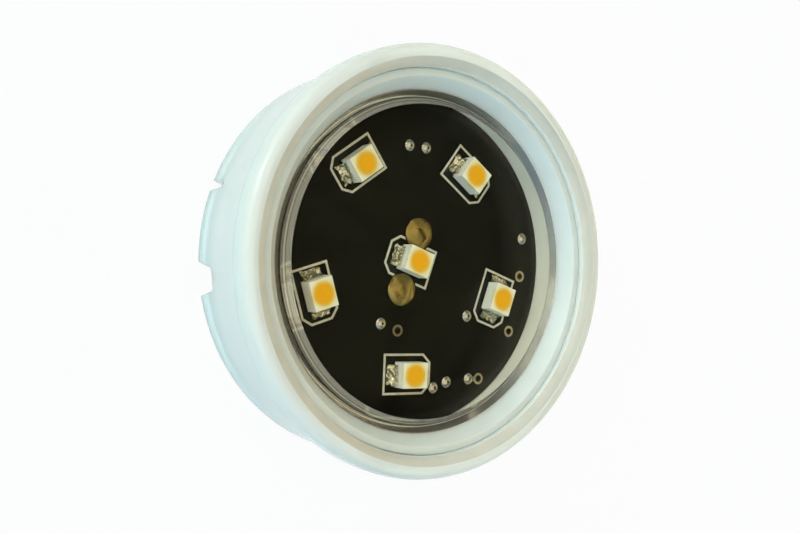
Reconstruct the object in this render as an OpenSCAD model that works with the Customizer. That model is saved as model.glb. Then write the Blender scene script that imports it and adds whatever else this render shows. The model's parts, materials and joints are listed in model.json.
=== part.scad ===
// Round LED module for a recess: a clear shell with a flanged front holds a white
// carrier ring, and the ring holds a black board with six warm white LEDs and a clear
// front cover. A rear cover closes the back. The module lies on its rear rim and
// shines along +Z.

/* [Housing] */
// Outside diameter of the body behind the flange
body_d = 44; // [40:0.2:60]
// Overhang of the front flange beyond the body
flange_overhang = 1.2; // [1:0.1:4]
// Thickness of the flange
flange_h = 3.1; // [2.4:0.1:5]
// Rounding of the flange's front edge
flange_front_round = 1.1; // [0.5:0.1:1.3]
// Rounding of the flange's rear edge
flange_rear_round = 0.6; // [0.2:0.1:0.9]
// Wall of the body beside its bore
body_wall = 1.3; // [1:0.1:1.6]
// Width of the sloped lip round the front opening
lip_w = 1; // [0.4:0.1:1.2]
// Height of the sloped lip round the front opening
lip_h = 0.7; // [0.3:0.1:1]
// Drop from the lip to the carrier ring's front
rim_drop = 0.5; // [0.1:0.1:2]
// Width of the inner shoulder's upper face
shoulder_w = 1.2; // [0.8:0.1:2]

/* [Rear rim] */
// Number of wide notches in the rear rim
notch_count = 4; // [1:1:6]
// Angle of the first wide notch
notch_angle = 7.4; // [0:0.2:60]
// Width of a wide notch at the rim
notch_rim_w = 3.7; // [2.5:0.1:6]
// Width of a wide notch at its floor
notch_floor_w = 2.3; // [1.5:0.1:5]
// Depth of a wide notch
notch_depth = 3.5; // [2:0.1:3.8]
// Angle of the narrow slit
slit_angle = 161.3; // [145:0.1:175]
// Width of the narrow slit at the rim
slit_rim_w = 1.2; // [0.6:0.1:2]
// Width of the narrow slit at its floor
slit_floor_w = 0.5; // [0.3:0.1:1.5]
// Depth of the narrow slit
slit_depth = 3; // [1.5:0.1:3.5]
// Wall of the rear rim beside the rear cover
rim_wall = 1.4; // [1:0.1:1.8]

/* [Rear cover] */
// Thickness of the rear cover
rear_cover_t = 1; // [0.6:0.1:1.6]
// Sink of the rear cover behind the rear rim
rear_cover_sink = 0.2; // [0.1:0.1:0.8]
// Clearance round the rear cover
rear_cover_clear = 0.1; // [0.05:0.05:0.3]
// Width of the sloped edge on the rear cover's outer face
rear_cover_slope = 0.3; // [0.1:0.1:0.5]
// Room between the rear cover and the board
rear_room = 3.6; // [3:0.1:6]

/* [Carrier ring] */
// Wall of the carrier ring beside the board
ring_wall = 2.2; // [1.8:0.05:3]
// Clearance of the ring in the body's bore
ring_clear = 0.1; // [0.05:0.05:0.3]
// Width of the ledge under the board
ledge_w = 0.9; // [0.5:0.1:1.1]
// Thickness of the ledge under the board
ledge_t = 0.8; // [0.6:0.1:1.4]
// Width of the seat under the front cover
seat_w = 0.2; // [0.15:0.05:0.4]
// Width of the ring's flat front
ring_front_w = 0.8; // [0.4:0.1:1.2]
// Height of the cone between the front cover and the ring's front
cone_h = 1.6; // [1:0.05:2.5]

/* [Front cover] */
// Room between the LEDs and the front cover
led_room = 0.4; // [0.2:0.1:4]
// Thickness of the front cover
cover_t = 2.8; // [1.8:0.1:3.2]
// Width of the bevel round the window
bevel_w = 0.8; // [0.4:0.1:1]
// Depth of the groove round the window
groove_depth = 0.95; // [0.4:0.05:1.2]
// Width of the sloped edge outside the groove
edge_w = 0.75; // [0.4:0.05:2]
// Rise of the sloped edge from the groove to the ring
edge_rise = 0.45; // [0.1:0.05:0.5]
// Clearance of the front cover in the ring
cover_clear = 0.05; // [0.02:0.01:0.1]

/* [Circuit board] */
// Thickness of the board
board_t = 1.6; // [1:0.1:2.4]
// Clearance of the board in the ring
board_clear = 0.1; // [0.05:0.05:0.3]

/* [Plated holes] */
// Drill of the plated holes
via_drill = 0.9; // [0.5:0.05:1]
// Width of the plated land round a hole
via_land_w = 0.2; // [0.1:0.05:0.25]
// Thickness of the plating
plating_t = 0.05; // [0.03:0.01:0.1]
// Height of the solder dome on a filled hole
via_dome_h = 0.3; // [0.15:0.05:0.5]
// Width of the plated trace between the two joined holes
via_trace_w = 0.5; // [0.3:0.05:0.7]
// Distance of the two upper holes from the board's edge
upper_via_inset = 5.4; // [4:0.05:7]
// Distance of the two holes near the middle from the board's edge
inner_via_inset = 10.5; // [9:0.05:11]
// Distance of the two lower holes from the board's edge
lower_via_inset = 3.7; // [3:0.05:4.5]
// Distance of the hole inside the circle of LEDs from the board's edge
single_via_inset = 8.2; // [8.05:0.05:9]
// Distance of the two holes beside the circle of LEDs from the board's edge
edge_via_inset = 2.5; // [2.2:0.05:3]
// Distance of the two holes near the board's edge
rim_via_inset = 2; // [1.8:0.05:2.5]
// Distance of the outermost hole from the board's edge
last_via_inset = 1.7; // [1.6:0.05:2]

/* [Printed outline] */
// Gap between a solder joint and the outline's end
outline_end_gap = 0.35; // [0.3:0.05:0.6]
// Gap between an LED's side and the outline
outline_side_gap = 0.75; // [0.4:0.05:1]
// Cut of the outline's two cathode corners
outline_cut = 0.9; // [0.4:0.1:1.2]
// Width of the printed line
line_w = 0.25; // [0.15:0.05:0.35]
// Thickness of the print
print_t = 0.04; // [0.02:0.01:0.1]
// Shift of the outline towards the cathode
outline_shift = 0.1; // [0:0.05:0.1]
// Gap between print and metal
print_gap = 0.12; // [0.05:0.01:0.3]

/* [LEDs] */
// Distance from the board's edge to the middle of an outer LED
led_inset = 5.8; // [4.5:0.05:7]
// Length of an LED body
led_l = 3.2; // [2.8:0.1:3.6]
// Width of an LED body
led_w = 2.8; // [2.5:0.1:3.2]
// Height of an LED above the board
led_h = 1.9; // [1.6:0.1:2.4]
// Thickness of the LED leads
lead_t = 0.15; // [0.1:0.05:0.2]
// Width of the LED leads
lead_w = 2.2; // [1.8:0.1:2.4]
// Length of a lead's foot under the body
lead_foot = 0.7; // [0.4:0.1:1.2]
// Width of the body's rim beside the light window
led_rim = 0.2; // [0.1:0.05:0.4]
// Slope of the cavity's wall between its top and its floor
cavity_slope_w = 0.25; // [0.1:0.05:0.4]
// Depth of the cavity
cavity_depth = 0.9; // [0.6:0.1:1]
// Sink of the phosphor's surface below the body's top
phosphor_sink = 0.03; // [0:0.01:0.1]
// Width of the LED chip
chip_w = 0.5; // [0.3:0.05:0.6]
// Height of the LED chip
chip_h = 0.15; // [0.1:0.05:0.25]
// Gap between the two leads under the phosphor
lead_gap = 0.3; // [0.2:0.05:0.4]
// Margin of the cathode lead behind the chip
chip_margin = 0.15; // [0.1:0.05:0.2]

/* [LED solder] */
// Reach of a solder joint beyond the lead
solder_l = 0.9; // [0.5:0.05:1]
// Width of a solder joint
solder_w = 2.4; // [2:0.1:2.6]
// Height of a solder joint at the lead
solder_h = 0.65; // [0.4:0.05:0.8]
// Height of a solder joint halfway down its slope
solder_slope_h = 0.32; // [0.2:0.02:0.4]
// Height of a solder joint at its outer edge
solder_edge = 0.08; // [0.05:0.01:0.15]

/* [Supply pins] */
// Gap between a pin's head and the middle LED
pin_led_gap = 0.1; // [0.1:0.05:1]
// Diameter of a pin's head
pin_head_d = 3.6; // [2.4:0.1:3.8]
// Height of a pin's head
pin_head_h = 0.5; // [0.3:0.05:0.8]
// Diameter of a pin's shank
pin_d = 1.2; // [0.8:0.1:1.5]
// Length of a pin behind the board
pin_tail = 2.6; // [1.5:0.1:2.8]
// Clearance of a pin in the board
pin_clear = 0.02; // [0.01:0.01:0.1]

/* [Rear components] */
// Length of the rectifier's body
rectifier_l = 4.7; // [4:0.1:5]
// Width of the rectifier's body
rectifier_w = 4; // [3.6:0.1:4.4]
// Height of the rectifier's body
rectifier_h = 2.2; // [1.6:0.1:2.5]
// Lift of the rectifier's body off the board
rectifier_lift = 0.15; // [0.1:0.05:0.3]
// Pitch of the rectifier's leads
rectifier_pitch = 2.5; // [2.3:0.1:2.7]
// Width of a rectifier lead
rectifier_lead_w = 0.65; // [0.5:0.05:0.8]
// Thickness of a rectifier lead
rectifier_lead_t = 0.2; // [0.1:0.05:0.3]
// Length of a rectifier lead's foot
rectifier_foot = 0.9; // [0.7:0.1:1.2]
// Length of a chip resistor
resistor_l = 3.2; // [3:0.1:3.4]
// Width of a chip resistor
resistor_w = 1.6; // [1.4:0.1:1.8]
// Height of a chip resistor
resistor_h = 0.6; // [0.5:0.05:0.7]
// Length of the capacitor
capacitor_l = 3.2; // [3:0.1:3.4]
// Width of the capacitor
capacitor_w = 2.5; // [2.2:0.1:2.7]
// Height of the capacitor
capacitor_h = 1.8; // [1.4:0.1:2.2]
// Length of an end cap on a chip part
end_cap = 0.5; // [0.3:0.05:0.7]
// Place of the rectifier on the board, along X
rectifier_x = -7; // [-8:0.5:-6]
// Place of the rectifier on the board, along Y
rectifier_y = 6; // [5:0.5:7]
// Place of both resistors on the board, along X
resistor_x = 7; // [5:0.5:8]
// Place of the first resistor on the board, along Y
resistor_1_y = 6; // [5:0.5:7]
// Place of the second resistor on the board, along Y
resistor_2_y = 1; // [-1:0.5:2]
// Place of the capacitor on the board, along X
capacitor_x = -8.5; // [-9:0.5:-7]
// Place of the capacitor on the board, along Y
capacitor_y = -3.5; // [-5:0.5:-2]

/* [Hidden] */
$fn = 96;
small_fn = 40;
over = 1;

// Radii, from the body inwards
body_r = body_d/2;
flange_r = body_r + flange_overhang;
bore_r = body_r - body_wall;
rebate_r = body_r - rim_wall;
shoulder_r = bore_r - shoulder_w;
ring_r = bore_r - ring_clear;
well_r = ring_r - ring_wall;
board_r = well_r - board_clear;
seat_r = well_r + seat_w;
ring_front_r = ring_r - ring_front_w;
cover_r = seat_r - cover_clear;
groove_r = cover_r - edge_w;
window_r = groove_r - bevel_w;
led_ring_r = board_r - led_inset;

// Heights, from the rear rim upwards
rebate_z = rear_cover_sink + rear_cover_t;
board_z = rebate_z + rear_room;
shoulder_z = board_z - ledge_t;
board_top = board_z + board_t;
cover_z = board_top + led_h + led_room;
window_z = cover_z + cover_t;
groove_z = window_z - groove_depth;
cone_z = groove_z + edge_rise;
ring_top = cone_z + cone_h;
total_h = ring_top + rim_drop + lip_h;
flange_z = total_h - flange_h;

// Five LEDs stand on a circle, and the sixth is in the middle
outer_leds = 5;
led_first_angle = 54;
centre_led_angle = 162;
// Side to which the cathode of each outer LED points: 1 is anticlockwise
led_facing = [-1, 1, 1, 1, -1];

phosphor_r = led_w/2 - led_rim;
cavity_floor_r = phosphor_r - cavity_slope_w;
cavity_z = led_h - cavity_depth;
cathode_reach = chip_w/2 + chip_margin;
anode_reach = -cathode_reach - lead_gap;
lead_end = led_l/2 + lead_t;
outline_half_l = lead_end + solder_l + outline_end_gap;
outline_half_w = led_w/2 + outline_side_gap;
pin_pitch = led_w + pin_head_d + 2*pin_led_gap;

// Plated holes: distance from the board's edge, angle, and 1 where solder fills the hole.
// A trace joins the two in joined_vias.
joined_vias = [6, 7];
vias = [
    [upper_via_inset, 83, 1],
    [upper_via_inset, 93, 1],
    [inner_via_inset, 243, 1],
    [inner_via_inset, 260, 0],
    [lower_via_inset, 285, 1],
    [lower_via_inset, 292.5, 1],
    [edge_via_inset, 303.5, 1],
    [last_via_inset, 307.5, 0],
    [single_via_inset, 324, 1],
    [rim_via_inset, 332, 0],
    [edge_via_inset, 356, 0],
    [rim_via_inset, 12, 1]
];
via_land_r = via_drill/2 + via_land_w;
barrel_r = via_drill/2 - plating_t;

// Places of the rear components on the board
rectifier_at = [rectifier_x, rectifier_y];
resistor_1_at = [resistor_x, resistor_1_y];
resistor_2_at = [resistor_x, resistor_2_y];
capacitor_at = [capacitor_x, capacitor_y];

// Box given by its lowest and highest corners
module span(low, high) {
    translate(low) cube(high - low);
}

// Shape drawn as distance along X and height along Z, with its width along Y
module side_shape(width) {
    translate([0, width/2, 0]) rotate([90, 0, 0]) linear_extrude(width) children();
}

// Upright cylinder with a shallow domed top of the given height
module dome(radius, height) {
    ball_r = (radius*radius + height*height)/(2*height);
    intersection() {
        translate([0, 0, height - ball_r]) sphere(ball_r, $fn = small_fn);
        cylinder(r = radius, h = height + over, $fn = small_fn);
    }
}

// Wedge cut into the rear rim
module rim_cut(angle, rim_w, floor_w, depth) {
    rotate([0, 0, angle]) translate([shoulder_r - over, 0, 0]) rotate([90, 0, 90])
        linear_extrude(body_r - shoulder_r + 2*over)
            polygon([
                [-rim_w/2, -over], [rim_w/2, -over], [rim_w/2, 0],
                [floor_w/2, depth], [-floor_w/2, depth], [-rim_w/2, 0]
            ]);
}

// Section of the flange, with both outer edges rounded
module flange_section() {
    front_c = flange_r - flange_front_round;
    rear_c = flange_r - flange_rear_round;
    translate([bore_r, flange_z + flange_rear_round])
        square([flange_r - bore_r, flange_h - flange_rear_round - flange_front_round]);
    translate([bore_r, flange_z]) square([rear_c - bore_r, flange_h - flange_front_round]);
    translate([bore_r, flange_z + flange_rear_round])
        square([front_c - bore_r, flange_h - flange_rear_round]);
    translate([front_c, total_h - flange_front_round]) circle(flange_front_round);
    translate([rear_c, flange_z + flange_rear_round]) circle(flange_rear_round);
}

module housing_section() {
    difference() {
        union() {
            flange_section();
            translate([bore_r, rebate_z]) square([body_wall, flange_z + flange_h/2 - rebate_z]);
            translate([shoulder_r, rebate_z]) square([body_r - shoulder_r, shoulder_z - rebate_z]);
            translate([rebate_r, 0]) square([rim_wall, shoulder_z]);
        }
        polygon([
            [bore_r - over, total_h - lip_h], [bore_r, total_h - lip_h],
            [bore_r + lip_w, total_h], [bore_r + lip_w, total_h + over], [bore_r - over, total_h + over]
        ]);
    }
}

module housing() {
    color("lightcyan", 0.5) difference() {
        rotate_extrude() housing_section();
        for (i = [0:notch_count - 1])
            rim_cut(notch_angle + i*360/notch_count, notch_rim_w, notch_floor_w, notch_depth);
        rim_cut(slit_angle, slit_rim_w, slit_floor_w, slit_depth);
    }
}

module carrier_ring() {
    color("white") rotate_extrude() polygon([
        [well_r - ledge_w, shoulder_z], [ring_r, shoulder_z], [ring_r, ring_top],
        [ring_front_r, ring_top], [seat_r, cone_z], [seat_r, cover_z], [well_r, cover_z],
        [well_r, board_z], [well_r - ledge_w, board_z]
    ]);
}

module front_cover() {
    color("azure", 0.35) rotate_extrude() polygon([
        [0, cover_z], [cover_r, cover_z], [cover_r, cone_z], [groove_r, groove_z],
        [window_r, window_z], [0, window_z]
    ]);
}

module rear_cover() {
    rear_r = rebate_r - rear_cover_clear;
    color("whitesmoke") rotate_extrude() polygon([
        [0, rear_cover_sink], [rear_r - rear_cover_slope, rear_cover_sink],
        [rear_r, rear_cover_sink + rear_cover_slope], [rear_r, rebate_z], [0, rebate_z]
    ]);
}

// Children at each plated hole, only the filled ones if asked
module at_vias(filled_only) {
    for (v = vias)
        if (!filled_only || v[2] == 1) rotate([0, 0, v[1]]) translate([board_r - v[0], 0, 0]) children();
}

// Children at one of the two supply pins, on either side of the middle LED
module at_pin(i) {
    rotate([0, 0, centre_led_angle + 90]) translate([(i == 1 ? -1 : 1)*pin_pitch/2, 0, 0]) children();
}

module circuit_board() {
    color([0.06, 0.06, 0.05]) difference() {
        translate([0, 0, board_z]) cylinder(r = board_r, h = board_t);
        at_vias(false) translate([0, 0, board_z - over])
            cylinder(d = via_drill, h = board_t + 2*over, $fn = small_fn);
        for (i = [1:2]) at_pin(i) translate([0, 0, board_z - over])
            cylinder(d = pin_d + 2*pin_clear, h = board_t + 2*over, $fn = small_fn);
    }
}

// Middle of a plated hole on the board
function via_at(v) = (board_r - v[0])*[cos(v[1]), sin(v[1])];

// Trace on the board's front from the land of one joined hole to the land of the other
module via_trace() {
    from = via_at(vias[joined_vias[0]]);
    run = via_at(vias[joined_vias[1]]) - from;
    difference() {
        translate([from[0], from[1], board_top]) rotate([0, 0, atan2(run[1], run[0])])
            span([0, -via_trace_w/2, 0], [norm(run), via_trace_w/2, plating_t]);
        for (i = joined_vias) translate([via_at(vias[i])[0], via_at(vias[i])[1], board_z])
            cylinder(d = via_drill, h = board_t + over, $fn = small_fn);
    }
}

// Plated barrel with a land on each face of the board
module via_plating() {
    color("goldenrod") union() {
        at_vias(false) translate([0, 0, board_z]) rotate_extrude($fn = small_fn)
            polygon([
                [barrel_r, -plating_t], [via_land_r, -plating_t], [via_land_r, 0], [via_drill/2, 0],
                [via_drill/2, board_t], [via_land_r, board_t], [via_land_r, board_t + plating_t],
                [barrel_r, board_t + plating_t]
            ]);
        via_trace();
    }
}

// Solder that fills a barrel and stands as a dome on its land
module via_solder() {
    color("silver") at_vias(true) union() {
        translate([0, 0, board_z - plating_t])
            cylinder(r = barrel_r, h = board_t + 2*plating_t + via_dome_h/2, $fn = small_fn);
        translate([0, 0, board_top + plating_t]) dome(via_land_r, via_dome_h);
    }
}

// Rivet pin with a domed head on the board's front
module supply_pin(i) {
    color("darkgoldenrod") at_pin(i) union() {
        translate([0, 0, board_z - pin_tail])
            cylinder(d = pin_d, h = pin_tail + board_t + pin_head_h/2, $fn = small_fn);
        translate([0, 0, board_top]) dome(pin_head_d/2, pin_head_h);
    }
}

// Children in the frame of one LED: X to its cathode, Z from the board's face
module at_led(i) {
    angle = led_first_angle + (i - 1)*360/outer_leds;
    if (i <= outer_leds)
        rotate([0, 0, angle]) translate([led_ring_r, 0, board_top])
            rotate([0, 0, 90*led_facing[i - 1]]) children();
    else
        rotate([0, 0, centre_led_angle]) translate([0, 0, board_top]) children();
}

// Printed outline with its two cathode corners cut
module outline_shape(inset) {
    x = outline_half_l - inset;
    y = outline_half_w - inset;
    cut = outline_cut - inset*(2 - sqrt(2));
    polygon([[-x, -y], [x - cut, -y], [x, -y + cut], [x, y - cut], [x - cut, y], [-x, y]]);
}

module printed_outlines() {
    color("gainsboro") difference() {
        for (i = [1:outer_leds + 1]) at_led(i) translate([outline_shift, 0, 0])
            linear_extrude(print_t) difference() {
                outline_shape(-line_w/2);
                outline_shape(line_w/2);
            }
        for (i = [1:2]) at_pin(i) translate([0, 0, board_top - over])
            cylinder(d = pin_head_d + 2*print_gap, h = 2*over, $fn = small_fn);
        at_vias(false) translate([0, 0, board_top - over])
            cylinder(r = via_land_r + print_gap, h = 2*over, $fn = small_fn);
    }
}

// Part of a lead that lies inside the LED body
module lead_tab(reach) {
    span([-reach, -lead_w/2, cavity_z - lead_t], [led_l/2, lead_w/2, cavity_z]);
}

// Bent lead on the +X end, which reaches past the LED's middle by the given length
module lead(reach) {
    side_shape(lead_w) polygon([
        [led_l/2 - lead_foot, 0], [lead_end, 0], [lead_end, cavity_z],
        [-reach, cavity_z], [-reach, cavity_z - lead_t], [led_l/2, cavity_z - lead_t],
        [led_l/2, lead_t], [led_l/2 - lead_foot, lead_t]
    ]);
}

// Space of the cavity between its floor and the given height
module cavity(top_z) {
    slope = cavity_slope_w/cavity_depth;
    top_r = cavity_floor_r + slope*(top_z - cavity_z);
    translate([0, 0, cavity_z])
        cylinder(r1 = cavity_floor_r, r2 = top_r, h = top_z - cavity_z, $fn = small_fn);
}

module chip_block() {
    span([-chip_w/2, -chip_w/2, cavity_z], [chip_w/2, chip_w/2, cavity_z + chip_h]);
}

module led_body(i) {
    color("ivory") at_led(i) difference() {
        span([-led_l/2, -led_w/2, lead_t], [led_l/2, led_w/2, led_h]);
        cavity(led_h + over);
        lead_tab(cathode_reach);
        mirror([1, 0, 0]) lead_tab(anode_reach);
    }
}

module led_phosphor(i) {
    color("orange") at_led(i) difference() {
        cavity(led_h - phosphor_sink);
        chip_block();
    }
}

module led_cathode(i) {
    color("silver") at_led(i) lead(cathode_reach);
}

module led_anode(i) {
    color("silver") at_led(i) mirror([1, 0, 0]) lead(anode_reach);
}

module led_chip(i) {
    color("lightblue") at_led(i) chip_block();
}

// Fillet of solder against the outer face of a lead
module solder_fillet() {
    side_shape(solder_w) polygon([
        [lead_end, 0], [lead_end + solder_l, 0], [lead_end + solder_l, solder_edge],
        [lead_end + solder_l/3, solder_slope_h], [lead_end, solder_h]
    ]);
}

module led_solder() {
    color("lightgray") for (i = [1:outer_leds + 1]) at_led(i) {
        solder_fillet();
        mirror([1, 0, 0]) solder_fillet();
    }
}

// Children on the rear face of the board, with Z pointing away from it
module behind_board(at) {
    translate([at[0], at[1], board_z]) rotate([180, 0, 0]) children();
}

module bridge_rectifier() {
    color("dimgray") behind_board(rectifier_at) span(
        [-rectifier_l/2, -rectifier_w/2, rectifier_lift],
        [rectifier_l/2, rectifier_w/2, rectifier_lift + rectifier_h]
    );
}

// Two leads on each long side, bent down to the board
module rectifier_leads() {
    bend = rectifier_lift + rectifier_h/2;
    side = rectifier_w/2;
    color("silver") behind_board(rectifier_at)
        for (x = [-1, 1], turn = [90, -90])
            translate([x*rectifier_pitch/2, 0, 0]) rotate([0, 0, turn])
                side_shape(rectifier_lead_w) polygon([
                    [side, bend], [side, bend - rectifier_lead_t],
                    [side + rectifier_lead_t, bend - rectifier_lead_t],
                    [side + rectifier_lead_t, 0], [side + rectifier_foot, 0],
                    [side + rectifier_foot, rectifier_lead_t],
                    [side + 2*rectifier_lead_t, rectifier_lead_t],
                    [side + 2*rectifier_lead_t, bend]
                ]);
}

// Ceramic middle of a chip part
module chip_middle(length, width, height) {
    span([-length/2 + end_cap, -width/2, 0], [length/2 - end_cap, width/2, height]);
}

// Metal end caps of a chip part
module chip_caps(length, width, height) {
    for (side = [0, 1]) mirror([side, 0, 0])
        span([length/2 - end_cap, -width/2, 0], [length/2, width/2, height]);
}

module series_resistor(at) {
    color("black") behind_board(at) chip_middle(resistor_l, resistor_w, resistor_h);
}

module resistor_end_caps() {
    color("silver") for (at = [resistor_1_at, resistor_2_at])
        behind_board(at) chip_caps(resistor_l, resistor_w, resistor_h);
}

module filter_capacitor() {
    color("tan") behind_board(capacitor_at) chip_middle(capacitor_l, capacitor_w, capacitor_h);
}

module capacitor_end_caps() {
    color("silver") behind_board(capacitor_at) chip_caps(capacitor_l, capacitor_w, capacitor_h);
}

housing();
carrier_ring();
front_cover();
rear_cover();
circuit_board();
printed_outlines();
via_plating();
via_solder();
led_solder();
bridge_rectifier();
rectifier_leads();
series_resistor(resistor_1_at);  // series_resistor_1
series_resistor(resistor_2_at);  // series_resistor_2
resistor_end_caps();
filter_capacitor();
capacitor_end_caps();
for (i = [1:2])
    supply_pin(i);
for (i = [1:outer_leds + 1]) {
    led_body(i);
    led_phosphor(i);
    led_cathode(i);
    led_anode(i);
    led_chip(i);
}
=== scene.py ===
"""Looks of the round LED module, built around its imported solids. Lengths are in millimetres unless noted."""
import json
import math

import bmesh
import bpy
from mathutils import Matrix, Vector


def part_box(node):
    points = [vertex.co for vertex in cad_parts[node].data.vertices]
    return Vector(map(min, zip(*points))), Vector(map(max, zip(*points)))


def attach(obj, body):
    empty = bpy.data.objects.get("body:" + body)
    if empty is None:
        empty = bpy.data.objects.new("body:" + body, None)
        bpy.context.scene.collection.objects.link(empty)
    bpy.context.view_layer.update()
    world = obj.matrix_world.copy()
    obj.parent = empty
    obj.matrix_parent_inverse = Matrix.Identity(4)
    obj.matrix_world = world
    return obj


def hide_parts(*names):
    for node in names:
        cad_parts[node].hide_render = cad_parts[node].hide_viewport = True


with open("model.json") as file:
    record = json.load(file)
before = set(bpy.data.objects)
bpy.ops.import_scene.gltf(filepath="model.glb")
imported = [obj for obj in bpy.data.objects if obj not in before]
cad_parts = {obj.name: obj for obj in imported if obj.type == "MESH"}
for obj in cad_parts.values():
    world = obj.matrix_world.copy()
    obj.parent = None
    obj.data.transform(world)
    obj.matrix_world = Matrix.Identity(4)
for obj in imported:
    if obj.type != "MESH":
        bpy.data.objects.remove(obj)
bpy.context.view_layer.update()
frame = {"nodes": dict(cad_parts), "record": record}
nodes = frame["nodes"]
MM = 0.001
LED_COUNT = 6

# The camera of the photograph, with its clipping in metres
CAMERA_EYE = (-66.11, -2.43, 104.06)
CAMERA_AIM = (-3.02, -0.67, 10.0)
CAMERA_UP = (-0.0417, 0.9991, -0.0092)
CAMERA_LENS = 47.45
SENSOR_W = 36.0
CLIP_START = 0.005
CLIP_END = 10.0

# Sizes of the mouldings, from the frame
low, high = (corner/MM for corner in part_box("housing"))
FLANGE_R = high.x
TOTAL_H = high.z
spigot = next(m for m in frame["record"]["mounts"] if m["name"] == "panel_spigot")
BODY_R = spigot["dims"]["r_mm"]
FLANGE_Z = spigot["dims"]["length_mm"]
low, high = (corner/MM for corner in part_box("front_cover"))
COVER_R = high.x
COVER_Z = low.z
WINDOW_Z = high.z
low, high = (corner/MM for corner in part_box("carrier_ring"))
RING_R = high.x
SHOULDER_Z = low.z
RING_TOP = high.z
low, high = (corner/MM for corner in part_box("circuit_board"))
BOARD_R = high.x
BOARD_Z = low.z

# Clearances, walls and steps of the mouldings
RING_GAP = 0.1
BOARD_GAP = 0.1
COVER_GAP = 0.05
FILM = 0.02
SHOULDER_W = 1.2
REBATE_W = 1.4
REBATE_Z = 1.2
LIP_W = 1.0
LIP_H = 0.7
LEDGE_W = 0.9
RING_FRONT_W = 0.8
SLOPE_W = 0.75
SLOPE_H = 0.45
BEVEL_W = 0.8
BEVEL_H = 0.95

# Radii and heights that follow from them
BORE_R = RING_R + RING_GAP
SHOULDER_R = BORE_R - SHOULDER_W
REBATE_R = BODY_R - REBATE_W
WELL_R = BOARD_R + BOARD_GAP
SEAT_R = COVER_R + COVER_GAP
RING_FRONT_R = RING_R - RING_FRONT_W
GROOVE_R = COVER_R - SLOPE_W
GROOVE_Z = WINDOW_Z - BEVEL_H
CONE_Z = GROOVE_Z + SLOPE_H
WINDOW_R = GROOVE_R - BEVEL_W

# Roundings
FLANGE_FRONT_ROUND = 1.1
FLANGE_REAR_ROUND = 0.6
RIM_ROUND = 0.25
CORNER_ROUND = 0.15
EDGE = 0.12
GROOVE_ROUND = 0.1
FINE_EDGE = 0.06
SEAT_EDGE = 0.05
LED_EDGE = 0.1

# Cuts in the rear rim: angle, width at the rim, width at the floor and depth
NOTCH_COUNT = 4
FIRST_NOTCH = 7.4
NOTCHES = [(FIRST_NOTCH + 360/NOTCH_COUNT*i, 3.7, 2.3, 3.5) for i in range(NOTCH_COUNT)]
SLIT = (161.3, 1.2, 0.5, 3.0)
NOTCH_RIM_ROUND = 0.35
NOTCH_FLOOR_ROUND = 0.5
NOTCH_MARGIN = 1.0

# Fineness of the meshes. HOLD is the flat at each end of an arc, BELOW_ALL a height under every outline,
# LEVEL the least Z in the normal of a level face, and MERGE a distance in metres.
ARC_STEPS = 6
TURN_STEPS = 240
BEVEL_STEPS = 3
HOLD = 0.02
BELOW_ALL = -1.0
SHARP = math.radians(40)
LEVEL = 0.95
MERGE = 1e-7

# Noise values between which most of a noise lies
NOISE_LOW = 0.3
NOISE_HIGH = 0.7

# Plastics, and the orange halo in the LEDs
PLASTIC_IOR = 1.49
CLEAR_TINT = (0.99, 0.98, 0.91)
CLOUD_SIZE = 2.5
OPAL_CLOUD_SIZE = 3.0
FINE_CLOUD_SIZE = 0.3
ROUGH_SPREAD = 0.08
# Wobble of the edges of the shell's painted glow band
BAND_WOBBLE = 0.8
# Width of the painted reflection streaks on the bevel
PAINTED_STREAK_W = 0.15
HALO_R = 2.0
HALO_DEPTH = 1.5

# Plain pale floor: its size in metres, its distance under the part and the white share that it shows
FLOOR_SIZE = 40.0
FLOOR_GAP = 0.02
FLOOR_SHOWN = 0.93

# Soft studio light: each lobe is a direction, the angles where it is full and where it ends, and a colour
LOBES = [
    ((-0.76, 0.53, 0.31), 4, 5.5, (15.0, 16.5, 16.5)),
    ((-0.70, 0.70, 0.17), 5, 50, (1.75, 1.92, 1.80)),
    ((-0.98, 0.00, 0.17), 5, 50, (0.50, 0.85, 0.88)),
    ((-0.70, -0.70, 0.17), 5, 50, (0.02, 0.35, 0.80)),
    ((0.00, -0.98, 0.17), 5, 50, (0.30, 0.58, 0.70)),
    ((0.98, 0.00, 0.17), 5, 50, (1.00, 0.72, 0.28)),
    ((-0.71, 0.00, 0.71), 5, 48, (0.85, 0.70, 0.50)),
    ((0.71, 0.00, 0.71), 5, 48, (1.05, 0.95, 0.70)),
    ((-0.35, -0.61, 0.71), 5, 48, (0.50, 0.50, 0.46)),
    ((0.00, 0.71, 0.71), 5, 48, (0.45, 0.43, 0.38)),
    ((0.00, 0.00, 1.00), 5, 40, (1.25, 1.08, 0.70)),
]
ROOM = (0.04, 0.06, 0.05)

# Dark patch of the sky, which the flat window mirrors in the photograph: direction and angles
DARK = ((0.557, 0.018, 0.830), 12, 30)

# Kinds of math nodes
MATH = "ShaderNodeMath"
VECTOR_MATH = "ShaderNodeVectorMath"


def rounded(points, closed=True):
    """Outline through points of (x, y, radius). A radius makes an arc, with a short flat at each end."""
    outline = []
    last = len(points) - 1
    for i, (x, y, radius) in enumerate(points):
        here = Vector((x, y))
        if radius == 0 or (not closed and i in (0, last)):
            outline.append(here)
            continue
        back = (Vector(points[i - 1][:2]) - here).normalized()
        ahead = (Vector(points[(i + 1) % len(points)][:2]) - here).normalized()
        half = back.angle(ahead)/2
        reach = radius/math.tan(half)
        centre = here + (back + ahead).normalized()*radius/math.sin(half)
        spoke = here + back*reach - centre
        turn = math.copysign(math.pi - 2*half, -back.cross(ahead))
        outline.append(here + back*(reach + HOLD))
        for k in range(ARC_STEPS + 1):
            outline.append(centre + Matrix.Rotation(turn*k/ARC_STEPS, 2) @ spoke)
        outline.append(here + ahead*(reach + HOLD))
    return outline


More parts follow.
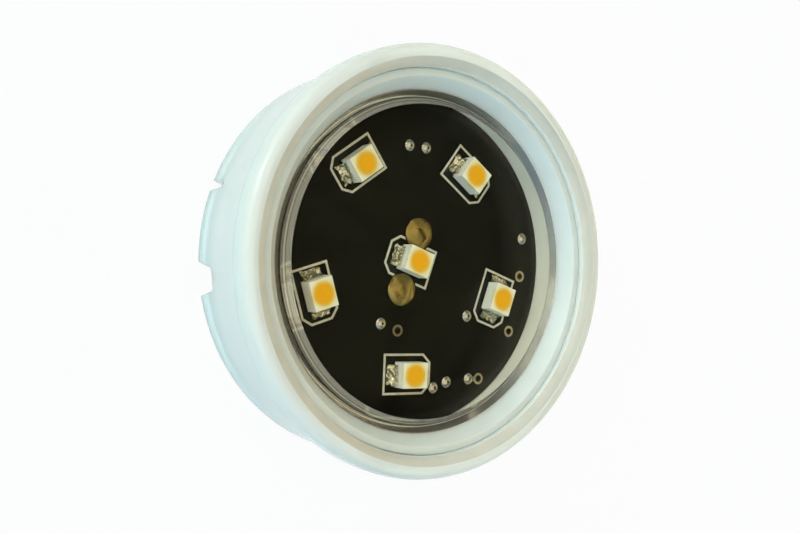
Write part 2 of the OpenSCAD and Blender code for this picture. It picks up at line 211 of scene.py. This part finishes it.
def full_turn():
    """Evenly spaced columns of a lathe: each is (angle, lowest height)."""
    return [(2*math.pi*i/TURN_STEPS, BELOW_ALL) for i in range(TURN_STEPS)]


def notched_turn():
    """Columns of a lathe whose lower edge rises in the notches and in the slit."""
    cut_columns = []
    spans = []
    for angle, rim_w, floor_w, depth in [*NOTCHES, SLIT]:
        rim_round = min(NOTCH_RIM_ROUND, rim_w/4)
        floor_round = min(NOTCH_FLOOR_ROUND, floor_w/3)
        side = rim_w/2 + NOTCH_MARGIN
        edge = rounded([
            (-side, 0, 0), (-rim_w/2, 0, rim_round), (-floor_w/2, depth, floor_round),
            (floor_w/2, depth, floor_round), (rim_w/2, 0, rim_round), (side, 0, 0)
        ], closed=False)
        middle = math.radians(angle)
        cut_columns += [(middle + p.x/BODY_R, p.y) for p in edge]
        spans.append((middle - side/BODY_R, middle + side/BODY_R))
    plain = []
    for angle, floor in full_turn():
        turns = (angle, angle + 2*math.pi)
        if not any(a <= t <= b for a, b in spans for t in turns):
            plain.append((angle, floor))
    return sorted((angle % (2*math.pi), floor) for angle, floor in plain + cut_columns)


def finished_mesh(name, mesh):
    """Object made of a bmesh, shaded smooth up to sharp edges."""
    bmesh.ops.remove_doubles(mesh, verts=mesh.verts, dist=MERGE)
    bmesh.ops.dissolve_degenerate(mesh, edges=mesh.edges, dist=MERGE)
    bmesh.ops.recalc_face_normals(mesh, faces=mesh.faces)
    data = bpy.data.meshes.new(name)
    mesh.to_mesh(data)
    mesh.free()
    data.shade_smooth()
    data.set_sharp_from_angle(angle=SHARP)
    piece = bpy.data.objects.new(name, data)
    bpy.context.scene.collection.objects.link(piece)
    return piece


def lathe(name, outline, columns):
    """Solid of revolution of an outline of (radius, height) points. On the axis it closes to one point."""
    mesh = bmesh.new()
    axis = {k: mesh.verts.new((0, 0, p.y*MM)) for k, p in enumerate(outline) if p.x == 0}
    rings = []
    for angle, floor in columns:
        spoke = Vector((math.cos(angle), math.sin(angle), 0))
        rings.append([
            axis[k] if k in axis else mesh.verts.new((spoke*p.x + Vector((0, 0, max(p.y, floor))))*MM)
            for k, p in enumerate(outline)
        ])
    for j, ring in enumerate(rings):
        following = rings[(j + 1) % len(rings)]
        for k in range(len(outline)):
            m = (k + 1) % len(outline)
            face = []
            for vert in (ring[k], ring[m], following[m], following[k]):
                if vert not in face:
                    face.append(vert)
            if len(face) > 2:
                mesh.faces.new(face)
    return finished_mesh(name, mesh)


def dress(piece, material, slot, *replaced):
    """Gives a new piece its finish, and lets it stand for CAD nodes."""
    piece.data.materials.clear()
    piece.data.materials.append(material)
    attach(piece, "root")
    if replaced:
        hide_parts(*replaced)


def zone(piece, material, chosen):
    """Gives the faces for which chosen(radius, height, normal) holds a finish of their own."""
    piece.data.materials.append(material)
    for face in piece.data.polygons:
        if chosen(face.center.xy.length/MM, face.center.z/MM, face.normal):
            face.material_index = len(piece.data.materials) - 1


def calculate(tree, kind, operation, *values):
    """Math node over node outputs and constants."""
    made = tree.nodes.new(kind)
    made.operation = operation
    for socket, value in zip(made.inputs, values):
        if isinstance(value, bpy.types.NodeSocket):
            tree.links.new(value, socket)
        else:
            socket.default_value = value
    return made


class Paint:
    """A material with short ways to add and join its nodes."""

    def __init__(self, name, **values):
        self.material = bpy.data.materials.new(name)
        self.material.use_nodes = True
        self.tree = self.material.node_tree
        self.shader = self.tree.nodes["Principled BSDF"]
        self.place = self.node("ShaderNodeTexCoord")
        self.fill(self.shader, values)

    @staticmethod
    def fill(node, values):
        """Sets sockets by name, where an underscore stands for a space."""
        for key, value in values.items():
            node.inputs[key.replace("_", " ")].default_value = value

    def node(self, kind, **values):
        made = self.tree.nodes.new(kind)
        self.fill(made, values)
        return made

    def join(self, source, output, target, socket):
        self.tree.links.new(source.outputs[output], target.inputs[socket])

    def noise(self, size):
        """Noise whose features are about size wide."""
        made = self.node("ShaderNodeTexNoise", Scale=1/(size*MM), Detail=3.0, Roughness=0.5)
        self.join(self.place, "Object", made, "Vector")
        return made

    def height(self):
        """Node whose Z output is the height above the rear rim, in metres."""
        made = self.node("ShaderNodeSeparateXYZ")
        self.join(self.place, "Object", made, "Vector")
        return made

    def ramp(self, source, output, stops):
        """Colour ramp over a value, with stops of (position, colour)."""
        made = self.node("ShaderNodeValToRGB")
        points = made.color_ramp.elements
        for i, (position, colour) in enumerate(stops):
            point = points[i] if i < 2 else points.new(position)
            point.position = position
            point.color = (*colour, 1)
        self.join(source, output, made, "Fac")
        return made

    def colour_by(self, source, output, stops):
        """Base colour that follows a value through a colour ramp."""
        self.join(self.ramp(source, output, stops), "Color", self.shader, "Base Color")

    def mottle(self, size, first, second):
        """Base colour that wanders between two colours."""
        self.colour_by(self.noise(size), "Fac", [(NOISE_LOW, first), (NOISE_HIGH, second)])

    def wander(self, socket, size, low, high):
        """Shader value that wanders between two numbers."""
        span = self.node(
            "ShaderNodeMapRange", From_Min=NOISE_LOW, From_Max=NOISE_HIGH, To_Min=low, To_Max=high
        )
        self.join(self.noise(size), "Fac", span, "Value")
        self.join(span, "Result", self.shader, socket)

    def bump(self, size, height, strength):
        """Uneven surface with features of a size and a height."""
        made = self.node("ShaderNodeBump", Strength=strength, Distance=height*MM)
        self.join(self.noise(size), "Fac", made, "Height")
        self.join(made, "Normal", self.shader, "Normal")


def clear_plastic(name, rough, clearness):
    paint = Paint(name, Base_Color=(*CLEAR_TINT, 1), IOR=PLASTIC_IOR, Transmission_Weight=clearness)
    paint.wander("Roughness", CLOUD_SIZE, *rough)
    return paint.material


def milky_paint(name, clearness, depth):
    """Start of a milky plastic: part of the light passes straight, and the rest scatters over a depth."""
    return Paint(
        name, IOR=PLASTIC_IOR, Transmission_Weight=clearness, Subsurface_Weight=1.0,
        Subsurface_Radius=(1, 1, 1), Subsurface_Scale=depth*MM
    )


def opal_plastic(name, first, second, clearness, rough, depth):
    paint = milky_paint(name, clearness, depth)
    paint.mottle(OPAL_CLOUD_SIZE, first, second)
    paint.wander("Roughness", CLOUD_SIZE, rough, rough + ROUGH_SPREAD)
    return paint.material


def shell_with_painted_ring_glow():
    """Milky shell whose colour is deeper at its rear rim and paler where the ring stands behind it, a painted
    glow of the ring.
    """
    paint = milky_paint("clear_shell", clearness=0.4, depth=2.0)
    cloud = paint.noise(CLOUD_SIZE).outputs["Fac"]
    height = paint.height().outputs["Z"]
    wobble = calculate(paint.tree, MATH, "MULTIPLY_ADD", cloud, BAND_WOBBLE*MM, height)
    share = paint.node("ShaderNodeMapRange", From_Min=0.0, From_Max=TOTAL_H*MM)
    paint.join(wobble, "Value", share, "Value")
    # Colour by height: the pale stops where the ring stands behind the shell are painted glow of the ring.
    paint.colour_by(share, "Result", [
        (0.0, (0.76, 0.91, 0.93)), (0.18, (0.79, 0.93, 0.94)), (0.36, (0.90, 1.0, 1.0)),
        (0.72, (0.90, 1.0, 1.0)), (0.80, (0.80, 0.92, 0.90)), (1.0, (0.89, 0.95, 0.92))
    ])
    paint.wander("Roughness", CLOUD_SIZE, low=0.10, high=0.18)
    return paint.material


def bevel_painted_streaks():
    """Bevel whose fine light and dark streaks, running round the cover, are painted reflections of turning
    grooves.
    """
    paint = Paint("bevel_painted_reflections", IOR=PLASTIC_IOR, Transmission_Weight=0.7)
    painted_streaks = paint.node("ShaderNodeTexNoise", Scale=1/(PAINTED_STREAK_W*MM), Detail=2.0)
    painted_streaks.noise_dimensions = "1D"
    paint.join(paint.height(), "Z", painted_streaks, "W")
    # The dark and light stops are painted reflection streaks, not a colour of the plastic.
    paint.colour_by(painted_streaks, "Fac", [(0.35, (0.30, 0.31, 0.28)), (0.65, (0.95, 0.96, 0.92))])
    paint.wander("Roughness", size=0.4, low=0.10, high=0.2)
    return paint.material


def rear_plastic():
    paint = Paint("rear_moulding")
    paint.mottle(size=1.5, first=(0.70, 0.71, 0.70), second=(0.76, 0.77, 0.76))
    paint.wander("Roughness", size=0.8, low=0.38, high=0.55)
    paint.bump(size=0.25, height=0.01, strength=0.3)
    return paint.material


def board_mask():
    paint = Paint("black_solder_mask", Specular_IOR_Level=0.3)
    paint.mottle(size=4.0, first=(0.0025, 0.0035, 0.0020), second=(0.0040, 0.0048, 0.0032))
    paint.wander("Roughness", size=3.0, low=0.32, high=0.42)
    paint.bump(size=0.6, height=0.002, strength=0.3)
    return paint.material


def ink():
    paint = Paint("printed_ink")
    paint.mottle(size=0.35, first=(0.50, 0.50, 0.45), second=(0.68, 0.68, 0.62))
    paint.wander("Roughness", size=0.3, low=0.55, high=0.8)
    paint.bump(size=0.08, height=0.01, strength=0.5)
    return paint.material


def metal(name, first, second, rough, grain, relief):
    """Bare metal with a grain and a relief of that height."""
    paint = Paint(name, Metallic=1.0)
    paint.mottle(grain*2, first, second)
    paint.wander("Roughness", grain, *rough)
    paint.bump(grain, relief, strength=0.6)
    return paint.material


def led_plastic(number, window):
    """Cream moulding that glows orange towards the middle of its light window."""
    paint = Paint(
        f"led_moulding_{number}", Roughness=0.42, Subsurface_Weight=1.0,
        Subsurface_Radius=(1, 1, 1), Subsurface_Scale=0.25*MM
    )
    place = paint.place.outputs["Object"]
    away = calculate(paint.tree, VECTOR_MATH, "SUBTRACT", place, window).outputs["Vector"]
    deep = calculate(paint.tree, VECTOR_MATH, "MULTIPLY", away, (1, 1, HALO_DEPTH)).outputs["Vector"]
    distance = calculate(paint.tree, VECTOR_MATH, "LENGTH", deep)
    share = paint.node("ShaderNodeMapRange", From_Min=0.0, From_Max=HALO_R*MM)
    paint.join(distance, "Value", share, "Value")
    paint.colour_by(share, "Result", [
        (0.0, (1.0, 0.47, 0.004)), (0.44, (1.0, 0.49, 0.008)), (0.53, (1.0, 0.55, 0.06)),
        (0.63, (0.99, 0.70, 0.28)), (0.75, (0.97, 0.86, 0.62)), (0.90, (0.97, 0.98, 0.90))
    ])
    paint.bump(size=0.12, height=0.008, strength=0.3)
    return paint.material


def plain_finish(name, first, second, rough, size):
    paint = Paint(name)
    paint.mottle(size, first, second)
    paint.wander("Roughness", FINE_CLOUD_SIZE, *rough)
    return paint.material


def floor_paint():
    """Pale floor that shows nearly white to the camera, through clear pieces and in reflections."""
    paint = Paint("pale_floor", Base_Color=(0.62, 0.74, 0.78, 1), Roughness=0.9, Specular_IOR_Level=0.0)
    path = paint.node("ShaderNodeLightPath").outputs
    seen = calculate(paint.tree, MATH, "MAXIMUM", path["Is Camera Ray"], path["Is Transmission Ray"])
    seen = calculate(paint.tree, MATH, "MAXIMUM", seen.outputs["Value"], path["Is Glossy Ray"])
    share = calculate(paint.tree, MATH, "MULTIPLY", seen.outputs["Value"], FLOOR_SHOWN)
    glow = paint.node("ShaderNodeEmission", Color=(1, 1, 1, 1), Strength=1.0)
    mixed = paint.node("ShaderNodeMixShader")
    paint.join(share, "Value", mixed, 0)
    paint.join(paint.shader, "BSDF", mixed, 1)
    paint.join(glow, "Emission", mixed, 2)
    paint.join(mixed, "Shader", paint.tree.nodes["Material Output"], "Surface")
    return paint.material


def repaint(names, material):
    """Gives CAD nodes a finish."""
    for name in names:
        nodes[name].data.materials.clear()
        nodes[name].data.materials.append(material)


def soften(name, width):
    """Small rounded edges on a CAD node."""
    bevel = nodes[name].modifiers.new("edges", "BEVEL")
    bevel.width = width*MM
    bevel.segments = BEVEL_STEPS
    bevel.limit_method = "ANGLE"
    bevel.angle_limit = SHARP


def lumpy(name, grain, smoothing, lump, height):
    """Uneven, melted surface on a CAD node."""
    modifiers = nodes[name].modifiers
    remesh = modifiers.new("fine", "REMESH")
    remesh.mode = "VOXEL"
    remesh.voxel_size = grain*MM
    remesh.use_smooth_shade = True
    smooth = modifiers.new("melted", "SMOOTH")
    smooth.factor = 0.5
    smooth.iterations = smoothing
    clouds = bpy.data.textures.new(f"{name}_lumps", "CLOUDS")
    clouds.noise_scale = lump*MM
    clouds.noise_depth = 0
    push = modifiers.new("lumps", "DISPLACE")
    push.texture = clouds
    push.texture_coords = "LOCAL"
    push.strength = height*MM
    push.mid_level = 0.6


def make_housing():
    """Clear shell: flange with a sloped lip, bore and shoulder for the ring, rebate for the rear cover."""
    outline = rounded([
        (BODY_R, 0, RIM_ROUND), (BODY_R, FLANGE_Z, CORNER_ROUND), (FLANGE_R, FLANGE_Z, FLANGE_REAR_ROUND),
        (FLANGE_R, TOTAL_H, FLANGE_FRONT_ROUND), (BORE_R + LIP_W, TOTAL_H, EDGE),
        (BORE_R, TOTAL_H - LIP_H, EDGE), (BORE_R, SHOULDER_Z - FILM, EDGE),
        (SHOULDER_R, SHOULDER_Z - FILM, EDGE), (SHOULDER_R, REBATE_Z, EDGE), (REBATE_R, REBATE_Z, EDGE),
        (REBATE_R, 0, EDGE)
    ])
    housing = lathe("clear_housing", outline, notched_turn())
    dress(housing, shell_with_painted_ring_glow(), "clear_shell", "housing")

    def on_lip(radius, height, normal):
        inside = BORE_R < radius < BORE_R + LIP_W
        return inside and height > TOTAL_H - LIP_H and abs(normal.z) < LEVEL

    # The lip's greyer colour is painted shade of the sloped lip, darker than the shell round it.
    lip = opal_plastic("lip", (0.64, 0.63, 0.58), (0.70, 0.69, 0.64), clearness=0.3, rough=0.15, depth=0.4)
    zone(housing, lip, on_lip)


def make_ring():
    """Pale ring: ledge under the board, wall and seat round board and cover with painted light on them,
    conical front.
    """
    outline = rounded([
        (WELL_R - LEDGE_W, SHOULDER_Z, EDGE), (RING_R, SHOULDER_Z, EDGE), (RING_R, RING_TOP, CORNER_ROUND),
        (RING_FRONT_R, RING_TOP, EDGE), (SEAT_R, CONE_Z, FINE_EDGE), (SEAT_R, COVER_Z - FILM, SEAT_EDGE),
        (WELL_R, COVER_Z - FILM, SEAT_EDGE), (WELL_R, BOARD_Z, EDGE), (WELL_R - LEDGE_W, BOARD_Z, EDGE)
    ])
    ring = lathe("white_ring", outline, full_turn())
    opal = opal_plastic(
        "opal_ring", (0.76, 0.82, 0.82), (0.80, 0.86, 0.86), clearness=0.28, rough=0.32, depth=1.0
    )
    dress(ring, opal, "white_ring", "carrier_ring")

    def in_well(radius, height, normal):
        return radius < SEAT_R + FILM and height < CONE_Z

    # Painted light: the well's wall and seat get a lighter, warmer copy of the ring's colour than its front.
    wall = plain_finish("matt_wall_painted_light", (0.97, 0.95, 0.90), (0.99, 0.97, 0.93), rough=(0.5, 0.65), size=0.4)
    zone(ring, wall, in_well)


def make_cover():
    """Thick clear disc: window with a bevel of painted reflection streaks, groove, and a slope up to its satin
    edge.
    """
    outline = rounded([
        (0, COVER_Z, 0), (COVER_R, COVER_Z, EDGE), (COVER_R, CONE_Z, FINE_EDGE),
        (GROOVE_R, GROOVE_Z, GROOVE_ROUND), (WINDOW_R, WINDOW_Z, EDGE), (0, WINDOW_Z, 0)
    ])
    cover = lathe("clear_cover", outline, full_turn())
    window = clear_plastic("clear_window", rough=(0.01, 0.04), clearness=1.0)
    dress(cover, window, "clear_window", "front_cover")

    def on_bevel(radius, height, normal):
        return WINDOW_R < radius < GROOVE_R - EDGE and height > GROOVE_Z

    def on_edge(radius, height, normal):
        return radius > COVER_R - EDGE/2 and height < CONE_Z

    zone(cover, bevel_painted_streaks(), on_bevel)
    zone(cover, clear_plastic("satin_edge", rough=(0.12, 0.2), clearness=0.8), on_edge)


def dress_board():
    """Finishes of the board, its print, its plated holes, its solder and its pins."""
    pins = ["supply_pin_1", "supply_pin_2"]
    joints = metal(
        "led_joints", (0.30, 0.28, 0.20), (0.55, 0.52, 0.42), rough=(0.12, 0.24), grain=0.6, relief=0.001
    )
    solder = metal(
        "dull_solder", (0.36, 0.35, 0.31), (0.48, 0.47, 0.42), rough=(0.10, 0.18), grain=0.4, relief=0.002
    )
    brass = metal(
        "pin_brass", (0.25, 0.18, 0.06), (0.32, 0.26, 0.10), rough=(0.26, 0.40), grain=0.8, relief=0.002
    )
    plating = metal(
        "plated_copper", (0.45, 0.40, 0.28), (0.60, 0.54, 0.40), rough=(0.3, 0.45), grain=0.2, relief=0.004
    )
    repaint(["circuit_board"], board_mask())
    repaint(["printed_outlines"], ink())
    repaint(["via_plating"], plating)
    repaint(["via_solder"], solder)
    repaint(["led_solder"], joints)
    repaint(pins, brass)
    lumpy("led_solder", grain=0.06, smoothing=4, lump=0.5, height=0.5)
    for name in pins:
        lumpy(name, grain=0.05, smoothing=2, lump=1.2, height=0.2)


def dress_rear(tin):
    """Finishes of the rear cover and of the supply circuit behind the board."""
    black = plain_finish("black_epoxy", (0.02, 0.02, 0.02), (0.04, 0.04, 0.038), rough=(0.5, 0.7), size=0.5)
    ceramic = plain_finish(
        "fired_ceramic", (0.42, 0.31, 0.20), (0.52, 0.40, 0.27), rough=(0.5, 0.65), size=0.4
    )
    repaint(["rear_cover"], rear_plastic())
    repaint(["bridge_rectifier", "series_resistor_1", "series_resistor_2"], black)
    repaint(["rectifier_leads", "resistor_end_caps", "capacitor_end_caps"], tin)
    repaint(["filter_capacitor"], ceramic)


def dress_leds(tin):
    """Finishes of the LEDs, with the orange glow under each window."""
    crystal = plain_finish(
        "led_crystal", (0.40, 0.55, 0.66), (0.50, 0.64, 0.72), rough=(0.2, 0.35), size=0.4
    )
    for number in range(1, LED_COUNT + 1):
        low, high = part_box(f"led_body_{number}")
        moulding = led_plastic(number, ((low.x + high.x)/2, (low.y + high.y)/2, high.z))
        repaint([f"led_body_{number}", f"led_phosphor_{number}"], moulding)
        repaint([f"led_cathode_{number}", f"led_anode_{number}"], tin)
        repaint([f"led_chip_{number}"], crystal)
        soften(f"led_body_{number}", LED_EDGE)


def make_floor():
    bpy.ops.mesh.primitive_plane_add(size=FLOOR_SIZE, location=(0, 0, -FLOOR_GAP*MM))
    floor = bpy.context.object
    floor.name = "floor"
    floor.data.materials.append(floor_paint())


def lobe(tree, direction, towards, full, end):
    """Value that is 1 near a direction and falls to 0 at the end angle."""
    dot = calculate(tree, VECTOR_MATH, "DOT_PRODUCT", direction, Vector(towards).normalized())
    span = tree.nodes.new("ShaderNodeMapRange")
    span.interpolation_type = "SMOOTHSTEP"
    span.inputs["From Min"].default_value = math.cos(math.radians(end))
    span.inputs["From Max"].default_value = math.cos(math.radians(full))
    tree.links.new(dot.outputs["Value"], span.inputs["Value"])
    return span.outputs["Result"]


def make_studio():
    """Sky that is the sum of the room and the lobes, with the dark patch taken out."""
    world = bpy.data.worlds.new("studio")
    bpy.context.scene.world = world
    world.use_nodes = True
    tree = world.node_tree
    direction = tree.nodes.new("ShaderNodeTexCoord").outputs["Generated"]
    light = ROOM
    for towards, full, end, colour in LOBES:
        strength = lobe(tree, direction, towards, full, end)
        part = calculate(tree, VECTOR_MATH, "MULTIPLY", strength, colour).outputs["Vector"]
        light = calculate(tree, VECTOR_MATH, "ADD", light, part).outputs["Vector"]
    shade = calculate(tree, MATH, "SUBTRACT", 1.0, lobe(tree, direction, *DARK)).outputs["Value"]
    light = calculate(tree, VECTOR_MATH, "MULTIPLY", light, shade).outputs["Vector"]
    tree.links.new(light, tree.nodes["Background"].inputs["Color"])


def make_camera():
    eye = Vector(CAMERA_EYE)*MM
    back = (eye - Vector(CAMERA_AIM)*MM).normalized()
    right = Vector(CAMERA_UP).cross(back).normalized()
    up = back.cross(right)
    camera = bpy.data.objects.new("camera", bpy.data.cameras.new("camera"))
    camera.matrix_world = Matrix((right, up, back)).transposed().to_4x4()
    camera.location = eye
    camera.data.sensor_width = SENSOR_W
    camera.data.lens = CAMERA_LENS
    camera.data.clip_start = CLIP_START
    camera.data.clip_end = CLIP_END
    bpy.context.scene.collection.objects.link(camera)
    bpy.context.scene.camera = camera


make_housing()
make_ring()
make_cover()
tinned = metal(
    "tinned_metal", (0.72, 0.71, 0.66), (0.85, 0.85, 0.82), rough=(0.18, 0.32), grain=0.15, relief=0.006
)
dress_board()
dress_rear(tinned)
dress_leds(tinned)
make_floor()
make_studio()
make_camera()
bpy.context.scene.view_settings.view_transform = "Standard"
bpy.context.scene.cycles.blur_glossy = 0.0
